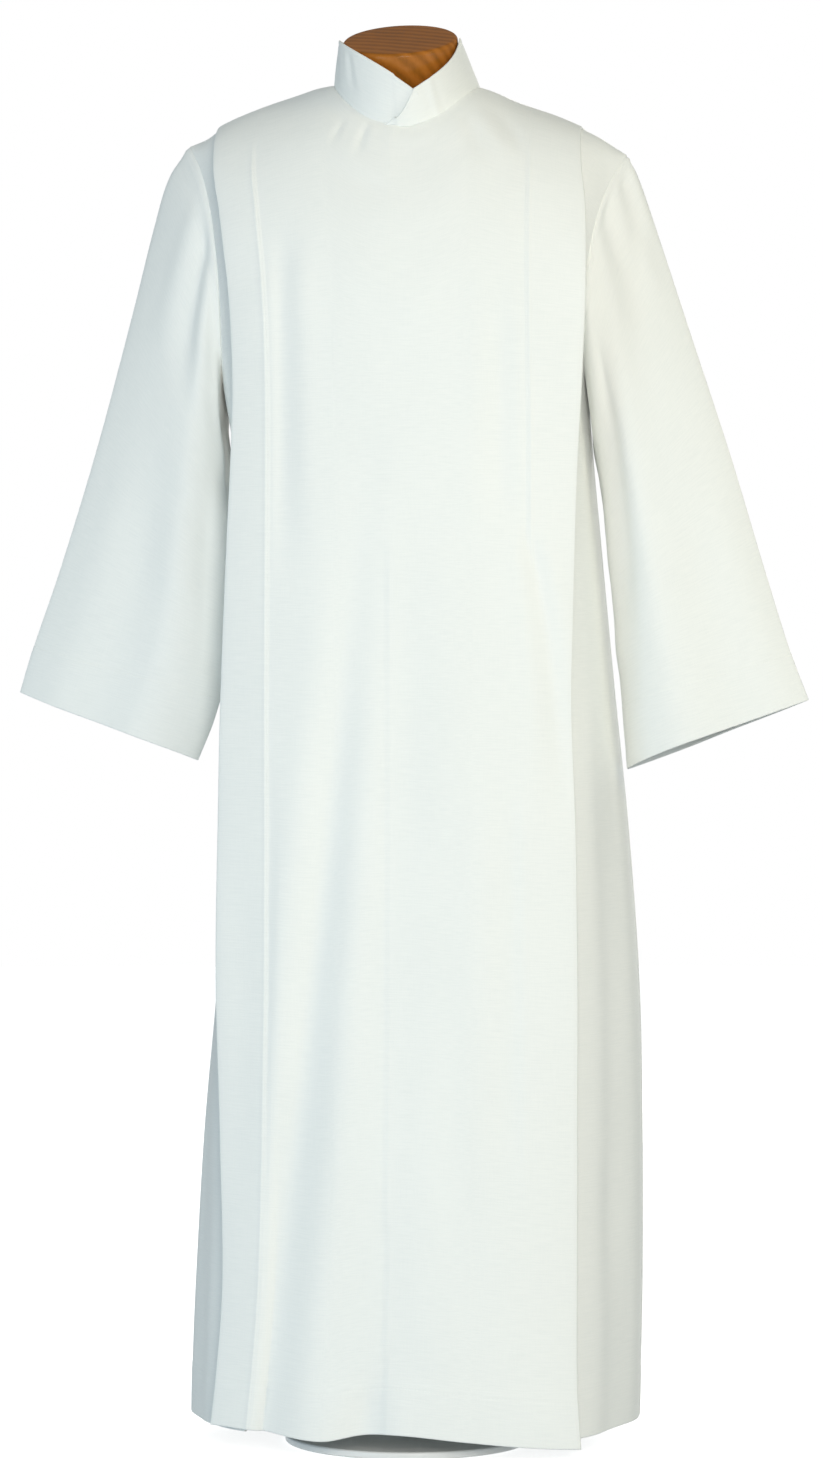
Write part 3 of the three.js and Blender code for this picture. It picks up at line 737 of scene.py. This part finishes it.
# folds of the sleeves: here x is degrees from the outer edge round by the front, and z is the share
# of the length from the armhole, taken as negative so that folds run down it
sleeveFoldsR = rows(
    foldColumns,
    (72, 0.0, 86, -0.34, 4, 9, 14, 7, 0.12, 0.5),
    (84, -0.4, 86, -1.1, 0, 14, 18, 5, 0.4, 0.01),
    (150, -0.05, 166, -0.34, 0, 9, 10, 7, 0.3, 0.5),
    (172, -0.08, 158, -0.4, 0, 8, 10, 6, 0.3, 0.5),
    (125, -0.3, 128, -0.85, 0, 12, 16, 3.5, 0.4, 0.5),
    (250, -0.05, 262, -0.6, 0, 14, 20, 8, 0.3, 0.4),
    (292, -0.3, 286, -1.1, 0, 14, 20, 5, 0.4, 0.01),
    (208, -0.1, 216, -0.5, 0, 10, 14, 5, 0.3, 0.5),
)
sleeveFoldsL = rows(
    foldColumns,
    (104, -0.04, 141, -0.9, 0, 10, 15, 6, 0.2, 0.5),
    (56, -0.0, 64, -0.3, 0, 9, 13, 5, 0.12, 0.5),
    (30, -0.02, 42, -0.2, 0, 8, 11, 3.5, 0.15, 0.5),
    (70, -0.5, 74, -1.1, 0, 14, 18, 3.5, 0.4, 0.01),
    (160, -0.05, 168, -0.3, 0, 9, 10, 5, 0.3, 0.5),
    (248, -0.05, 256, -0.7, 0, 14, 20, 8, 0.3, 0.4),
    (290, -0.25, 280, -1.1, 0, 14, 20, 5, 0.4, 0.01),
    (206, -0.1, 212, -0.45, 0, 10, 14, 5, 0.3, 0.5),
)


def armholePoint(hand, angle):
    # on the body's own edge, by the share of the height from the armpit to the shoulder's tip
    share = (1 + np.cos(angle)) / 2
    z = mix(armpitZ, shoulderZ(hand * robe["tipOut"]), share)
    x = hand * armholeX(hand, z)
    y = np.where(np.sin(angle) > 0, sideY(x, z), backY(x, z))
    return np.stack([x + hand * sleeve["clear"], y, z], -1)


def sleevePoints(hand, table, creases, s):
    # rings between the inner and the outer edge: bluff from the inner edge up to their crest, then
    # sloping away nearly straight to the outer edge; the first ones are drawn onto the armhole
    angle = hand * -np.arange(s["turns"]) / s["turns"] * 2 * np.pi
    share = (1 + np.cos(angle)) / 2
    rising = np.sin(np.clip(share / s["crest"], 0, 1) * np.pi / 2) ** 0.7
    falling = (1 - np.clip((share - s["crest"]) / (1 - s["crest"]), 0, 1) ** 1.25) ** 0.85
    bulge = np.sign(np.sin(angle)) * rising * falling
    crestIn = s["crestIn"] * np.maximum(bulge, 0) * (1 - share)
    # rings run from the cuff's edge, level 0, past its stitching, cuffLevel, to the armhole, level 1
    long = mix(s["innerLong"], s["outerLong"], share)
    cuff = 1 - s["cuffDeep"] / long
    level = withLines(np.linspace(0, 1, s["rings"]), 0, s["cuffLevel"], 1)
    v = level[:, None]
    upSleeve = cuff * (1 - v) / (1 - s["cuffLevel"])
    along = np.where(v < s["cuffLevel"], mix(1, cuff, v / s["cuffLevel"]), upSleeve)

    def ring(at):
        get = {name: curve(table, "along", name, at) for name in table if name != "along"}
        x = hand * (mix(get["inX"], get["outX"], share) - crestIn)
        y = -get["fore"] - get["deep"] * bulge
        return np.stack([x, y, mix(get["inZ"], get["outZ"], share)], -1)

    settle = 1 - ease(along / s["settle"])
    points = ring(along) + (armholePoint(hand, angle) - ring(np.zeros_like(angle))) * settle[..., None]
    degrees = np.degrees(angle) % 360
    free = ease(along / 0.05)
    rise = -free * troughs(creases, degrees, -along)
    rise += 1.3 * free * drift(along, degrees / 360, 14, 7, 30 + hand) * np.sin(angle / 2) ** 2
    # the sleeve's head stands up from the armhole seam
    rise += 1.5 * bell((along * long - 6) / 4.5) - 0.4 * bell(along * long / 2)
    rise += hemRise((1 - along) * long, s["cuffDeep"])
    cuffCount = int(np.searchsorted(level, s["cuffLevel"]))
    return points + outward(points, True) * rise[..., None], cuffCount


sleeves = {}
sleeveCuts = [(-1, "right", sleeveR, sleeveFoldsR), (1, "left", sleeveL, sleeveFoldsL)]
for hand, name, table, creases in sleeveCuts:
    sleeves[name], cuffRows = sleevePoints(hand, table, creases, sleeve)
    clothPiece("sleeve_" + name, turnedHem(sleeves[name], cuffRows, True), True)
print("sleeves made")

# standing collar, crossing over at the front

# the ends cross at "cross" degrees to the left of the front; the upper one's low corner is at
# overLow, and the lower one reaches as far as "under"
collar = {
    "steps": 210, "rings": 22, "cross": 19, "overLow": -9, "under": 24,
    "thick": 1.3, "lift": 2.2, "least": 0.5, "tuck": 2.2, "settleFrom": 25, "settleOver": 65,
    "right": 65, "left": 60.4, "middle": -45, "front": 61, "back": 72, "side": 1477, "low": 1416,
    "riseR": 1.5, "riseL": 0.85, "high": 48, "perDegree": 1.15,
}
collarFolds = rows(
    foldColumns,
    (-50, 0.95, -38, 0.25, 0, 3.5, 5, 1.3, 0.2, 0.3),
    (34, 1.05, 32, -0.1, 0, 2.5, 3, -0.9, 0.1, 0.1),
    (-72, 0.7, -66, 0.1, 0, 5, 6, 1, 0.3, 0.3),
    (118, 0.9, 124, 0.1, 0, 6, 8, 1.2, 0.3, 0.3),
    (205, 0.9, 198, 0.1, 0, 6, 9, 1.4, 0.3, 0.3),
)


def neckline(degrees):
    angle = np.radians(degrees)
    x, forward = robe["neckWide"] * np.sin(angle), np.cos(angle)
    depth = np.where(forward > 0, frontDepth(x, robe["neckZ"]), curve(body, "z", "back", robe["neckZ"]))
    reach = np.where(forward > 0, robe["neckFront"], robe["neckBack"])
    return np.stack([x, -reach * forward, topEdgeZ(x, depth, reach)], -1)


def collarEdge(degrees, s):
    # level behind and at the sides; from each side it falls as a power to the V
    angle = np.radians(degrees)
    left = np.sin(angle) >= 0
    away = np.where(degrees < 180, degrees - s["cross"], 360 + s["cross"] - degrees)
    toSide = np.clip(away / np.where(left, 90 - s["cross"], 90 + s["cross"]), -0.3, 1)
    power = np.where(left, s["riseL"], s["riseR"])
    rise = np.where(toSide < 0, toSide, 1 - (1 - np.maximum(toSide, 0)) ** power)
    reach = np.where(np.cos(angle) > 0, s["front"], s["back"])
    x = np.where(left, s["left"], s["right"]) * np.sin(angle)
    return np.stack([x, s["middle"] - reach * np.cos(angle), mix(s["low"], s["side"], rise)], -1)


def collarPoints(s):
    # a spiral: from the edge of the upper end, once round the neck, to the end beneath it
    v = np.linspace(0, 1, s["rings"])[:, None]
    t = withLines(np.linspace(0, 1, s["steps"]), 0, 1)
    degrees = mix(mix(s["overLow"], s["cross"], v), 360 + s["under"], t)
    low, high = neckline(degrees), collarEdge(degrees, s)
    points = mix(low, high, v[..., None])
    # the upper end lies further out and lower, and settles onto the neck as it goes round
    over = 1 - ease((degrees - s["settleFrom"]) / s["settleOver"])
    points[..., 2] -= (1 - v) * mix(0.3, s["tuck"], over)
    lift = s["lift"] * over + s["least"]
    around = (degrees + 180) % 360 - 180
    lift = lift - troughs(collarFolds, around, v + 0 * degrees)
    # a stitched line runs below the top edge and beside the crossing edge
    near = np.minimum((1 - v) * s["high"], (degrees - degrees[:, :1]) * s["perDegree"])
    lift = lift - 0.5 * bell((near - 4) / 0.9) + 0.3 * bell((near - 2) / 1.5)
    angle = np.radians(degrees)
    out = np.stack([np.sin(angle), -np.cos(angle), 0 * angle], -1)
    return points + out * lift[..., None]


clothPiece("collar", collarPoints(collar), thick=collar["thick"])
print("collar made")

# stitches

stitchSet = {
    "long": 2.3, "wide": 0.55, "high": 0.42, "sides": 6,
    "pitch": 3.1, "hemPitch": 4.2, "crossPitch": 2.6, "pastLine": 8,
}


def sampled(values, steps, where):    # points or directions of a line, at distances along it
    return np.stack([np.interp(where, steps, values[:, k]) for k in range(3)], 1)


def stitches(name, lines, s):
    # each stitch is a small rounded bar lying along its line: rings that narrow to a point at each end
    starts, alongs, ups = [], [], []
    for path, out, pitch in lines:
        steps = distances(path)
        at = np.arange(pitch / 2, steps[-1], pitch)
        starts.append(sampled(path, steps, at))
        alongs.append(unit(sampled(path, steps, at + 0.5) - sampled(path, steps, at - 0.5)))
        ups.append(unit(sampled(out, steps, at)))
    start, along, up = (np.concatenate(group) for group in (starts, alongs, ups))
    side = np.cross(up, along)
    t = np.array([-1, -0.8, 0, 0.8, 1])
    girth = np.array([0.12, 0.8, 1, 0.8, 0.12])
    a = np.arange(s["sides"]) / s["sides"] * 2 * np.pi
    shape = (along[:, None, None] * (t * s["long"] / 2)[:, None, None]
             + side[:, None, None] * (girth[:, None] * np.cos(a) * s["wide"] / 2)[..., None]
             + up[:, None, None] * (girth[:, None] * np.sin(a) * s["high"] / 2)[..., None])
    vertices = (start[:, None, None] + shape).reshape(-1, 3)
    last = (len(t) - 1) * s["sides"]
    fan = np.arange(1, s["sides"] - 1)
    firstCap = np.stack([0 * fan, fan + 1, fan], 1)
    lastCap = last + np.stack([0 * fan, fan, fan + 1], 1)
    one = np.concatenate([ringFaces(len(t), s["sides"]), firstCap, lastCap])
    faces = (np.arange(len(start))[:, None, None] * len(t) * s["sides"] + one).reshape(-1, 3)
    print(name, len(start), "stitches")
    return meshPiece(name, vertices, faces, albThread)


def surfaceLines(points, tube=False):
    # points on the cloth's face, for stitches to lie on
    out = outward(points, tube)
    return points + out * robe["thick"] / 2, out


def rowAt(z):    # the body's first row of points above a height
    return int(np.searchsorted(bodyLevels, levelAt(z)))


# the pleats' lines, the left one from where it opens, and two short rows across the right one
face, faceOut = surfaceLines(frontPoints)
sewn = int((pleatColumns(pleat)[0] <= pleat["deep"]).sum())
pleatSeams = [(0, sewn), (rowAt(pleat["releaseZ"]), face.shape[1] - 1 - sewn)]
seams = [(face[row:, column], faceOut[row:, column], stitchSet["pitch"]) for row, column in pleatSeams]
across = slice(pleat["flatSteps"] + pleat["turnSteps"], sewn)
for z in pleat["crossRows"]:
    seams.append((face[rowAt(z), across], faceOut[rowAt(z), across], stitchSet["crossPitch"]))
stitches("pleat_stitches", seams, stitchSet)

# the hem's line crosses the front to pastLine columns outside each pleat's own line
hemRow = int(np.searchsorted(bodyLevels, hemSewn)) - 1
shown = slice(sewn - stitchSet["pastLine"], stitchSet["pastLine"] - sewn)
backFace, backOut = surfaceLines(backPoints)
hems = [(face[hemRow, shown], faceOut[hemRow, shown], stitchSet["hemPitch"]),
        (backFace[hemRow], backOut[hemRow], stitchSet["hemPitch"])]
stitches("hem_stitches", hems, stitchSet)

# the cuffs' lines lie two rings below the turned-up edge
cuffs = []
for points in sleeves.values():
    tubeFace, tubeOut = surfaceLines(points, True)
    cuffs.append((tubeFace[cuffRows - 2], tubeOut[cuffRows - 2], stitchSet["hemPitch"]))
stitches("cuff_stitches", cuffs, stitchSet)
print("stitches made")

# dress form, neck block and stand

form = rows(
    "z wide front back",
    (800, 140, 88, 88), (806, 150, 96, 96), (880, 160, 102, 108), (960, 150, 98, 100),
    (1040, 130, 94, 84), (1120, 142, 108, 92), (1210, 160, 116, 100), (1290, 172, 100, 100),
    (1340, 176, 76, 86), (1368, 170, 60, 68), (1386, 148, 52, 52), (1396, 118, 50, 40),
    (1405, 86, 50, 32), (1412, 64, 48, 26),
)
stand = {
    "square": 2.2, "turns": 128, "gap": 0.3,
    "neckRadius": 60.5, "neckHigh": 52, "neckBow": 14, "neckRim": 4,
    "neckLean": 24, "neckX": -2, "neckY": -45, "neckZ": 1477,
    "poleRadius": 13, "poleTop": 799.7, "poleRim": 0.6,
    "baseRadius": 130, "baseThick": 8, "baseRim": 2.4,
}


def turned(name, rings, turns, finish, node):
    # closed body through rings (N, turns, 3), with a centre point at each end
    count = len(rings)
    ends = rings[[0, -1]].mean(axis=1)
    vertices = np.concatenate([rings.reshape(-1, 3), ends])
    i = np.arange(turns)
    k, top = (i + 1) % turns, (count - 1) * turns
    low = np.stack([k, i, np.full(turns, count * turns)], 1)
    high = np.stack([top + i, top + k, np.full(turns, count * turns + 1)], 1)
    faces = np.concatenate([ringFaces(count, turns), low, high])
    piece = meshPiece(name, vertices, faces, finish)
    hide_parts(node)
    return piece


def formTorso(s):
    # level rings, each a superellipse of its half width and its half depths before and behind
    rim = [800, 800.6, 801.6, 803.4]
    z = np.concatenate([rim, np.linspace(806, 1368, 60), np.linspace(1370, 1412, 22)])[:, None]
    angle = np.arange(s["turns"]) / s["turns"] * 2 * np.pi
    c, d = np.cos(angle), np.sin(angle)
    x = curve(form, "z", "wide", z) * np.sign(c) * np.abs(c) ** (2 / s["square"])
    depth = np.where(d < 0, curve(form, "z", "front", z), curve(form, "z", "back", z))
    y = depth * np.sign(d) * np.abs(d) ** (2 / s["square"])
    rings = np.stack([x, y, z + 0 * x], -1)
    return turned("form_torso_cover", rings, s["turns"], formJersey, "form_torso")


def lathe(profile, turns):    # rings of a profile of (radius, height) points, about Z
    angle = np.arange(turns) / turns * 2 * np.pi
    r, z = np.array(profile, float).T[..., None]
    return np.stack([r * np.cos(angle), r * np.sin(angle), z + 0 * r * angle], -1)


def eased(radius, low, high, soft, inset=0.3):
    # profile of a disc or rod whose two rims are quarter circles
    a = np.linspace(0, np.pi / 2, 7)
    lower = [(radius - soft + soft * math.sin(t), low + soft - soft * math.cos(t)) for t in a]
    upper = [(radius - soft + soft * math.cos(t), high - soft + soft * math.sin(t)) for t in a]
    return [(radius * inset, low), *lower, *upper, (radius * inset, high)]


def neckBlock(s):
    # a bowed side that swells upwards, a rounded top rim and a flat top, all leaning forwards
    high, r, bow, soft = s["neckHigh"], s["neckRadius"], s["neckBow"], s["neckRim"]
    side = [(r - bow + bow * math.sin(t), -high + high * 0.94 * (1 - math.cos(t)))
            for t in np.linspace(0.05, 1.5, 22)]
    rim = [(r - soft + soft * math.cos(t), -soft + soft * math.sin(t))
           for t in np.linspace(0.1, math.pi / 2, 9)]
    profile = [(r * 0.4, -high), (r - bow - 1, -high), *side, *rim, (r * 0.7, 0), (r * 0.3, 0)]
    rings = lathe(profile, s["turns"])
    lean = math.radians(s["neckLean"])
    y, z = rings[..., 1].copy(), rings[..., 2].copy()
    rings[..., 1] = y * math.cos(lean) - z * math.sin(lean) + s["neckY"]
    rings[..., 2] = y * math.sin(lean) + z * math.cos(lean) + s["neckZ"]
    rings[..., 0] += s["neckX"]
    return turned("neck_block_wood", rings, s["turns"], neckWood, "neck_block")


formTorso(stand)
neckBlock(stand)
poleLow = stand["baseThick"] + stand["gap"]
poleProfile = eased(stand["poleRadius"], poleLow, stand["poleTop"], stand["poleRim"])
baseProfile = eased(stand["baseRadius"], 0, stand["baseThick"], stand["baseRim"])
for name, profile, node in (("pole_rod", poleProfile, "pole"), ("base_disc", baseProfile, "base")):
    turned(name, lathe(profile, stand["turns"]), stand["turns"], standPaint, node)
print("form and stand made")

# floor, world and lights

lights = rows(
    "name turn height distance size power red green blue",
    ("key", 12, 1400, 4600, 1500, 112, 1.0, 0.96, 0.885),
    ("lamp", 60, 2400, 3200, 1200, 18, 1.0, 0.87, 0.54),
    ("cool", -74, 400, 3800, 1600, 9, 0.6, 0.84, 1.0),
    ("low", -32, 60, 3300, 1300, 37, 0.56, 0.8, 1.0),
    ("side", 72, 250, 3800, 1400, 13, 0.8, 0.94, 1.0),
    ("back", 163, 1600, 4600, 1500, 70, 1.0, 0.985, 0.96),
)
studio = {
    "aimZ": 760, "fill": 0.33, "fillColor": (0.88, 0.96, 0.98, 1), "backdrop": 1.0,
    "floorRadius": 9000, "floorGlow": 0.8, "floorSides": 96,
}


def makeLights(table, aimZ):
    # round soft lamps: turn is in degrees from the front towards the wearer's left, and each is
    # aimed at the robe's axis at the height aimZ
    for line in zip(*table.values()):
        s = dict(zip(table, line))
        light = bpy.data.lights.new(s["name"], "AREA")
        light.shape, light.size, light.energy = "DISK", s["size"] * mm, s["power"]
        light.color = (s["red"], s["green"], s["blue"])
        lamp = bpy.data.objects.new(s["name"], light)
        turn = math.radians(s["turn"])
        x, y = s["distance"] * math.sin(turn), -s["distance"] * math.cos(turn)
        lamp.location = (x * mm, y * mm, s["height"] * mm)
        tilt = math.atan2(s["distance"], s["height"] - aimZ)
        lamp.rotation_euler = (tilt, 0, turn)
        bpy.context.collection.objects.link(lamp)


def makeWorld(s):
    # soft light from all round, and a white backdrop behind the robe
    world = bpy.data.worlds.new("studio")
    bpy.context.scene.world = world
    world.use_nodes = True
    nodes = world.node_tree.nodes
    w = Wire(world.node_tree)
    ray = w.node("ShaderNodeLightPath", {}, {})
    light = w.node("ShaderNodeBackground", {}, {"Color": s["fillColor"], "Strength": s["fill"]})
    backdrop = w.node("ShaderNodeBackground", {}, {"Color": (1, 1, 1, 1), "Strength": s["backdrop"]})
    both = w.node("ShaderNodeMixShader", {}, {0: ray, 1: light, 2: backdrop})
    world.node_tree.links.new(both.socket, nodes["World Output"].inputs["Surface"])


def makeFloor(s):
    # a round white sheet, level with the base's underside
    finish = newFinish("floor_paper", {
        "Roughness": 0.9, "Base Color": (0.9, 0.9, 0.9, 1),
        "Emission Color": (1, 1, 1, 1), "Emission Strength": s["floorGlow"]})[0]
    sides = s["floorSides"]
    angle = np.arange(sides) / sides * 2 * np.pi
    ring = np.stack([np.cos(angle), np.sin(angle), 0 * angle], 1) * s["floorRadius"] * mm
    mesh = bpy.data.meshes.new("floor")
    mesh.from_pydata(ring.tolist(), [], [list(range(sides))])
    mesh.materials.append(finish)
    floor = bpy.data.objects.new("floor", mesh)
    bpy.context.collection.objects.link(floor)
    floor.visible_diffuse = False    # the glow stays off the robe


makeLights(lights, studio["aimZ"])
makeWorld(studio)
makeFloor(studio)
print("stage made")
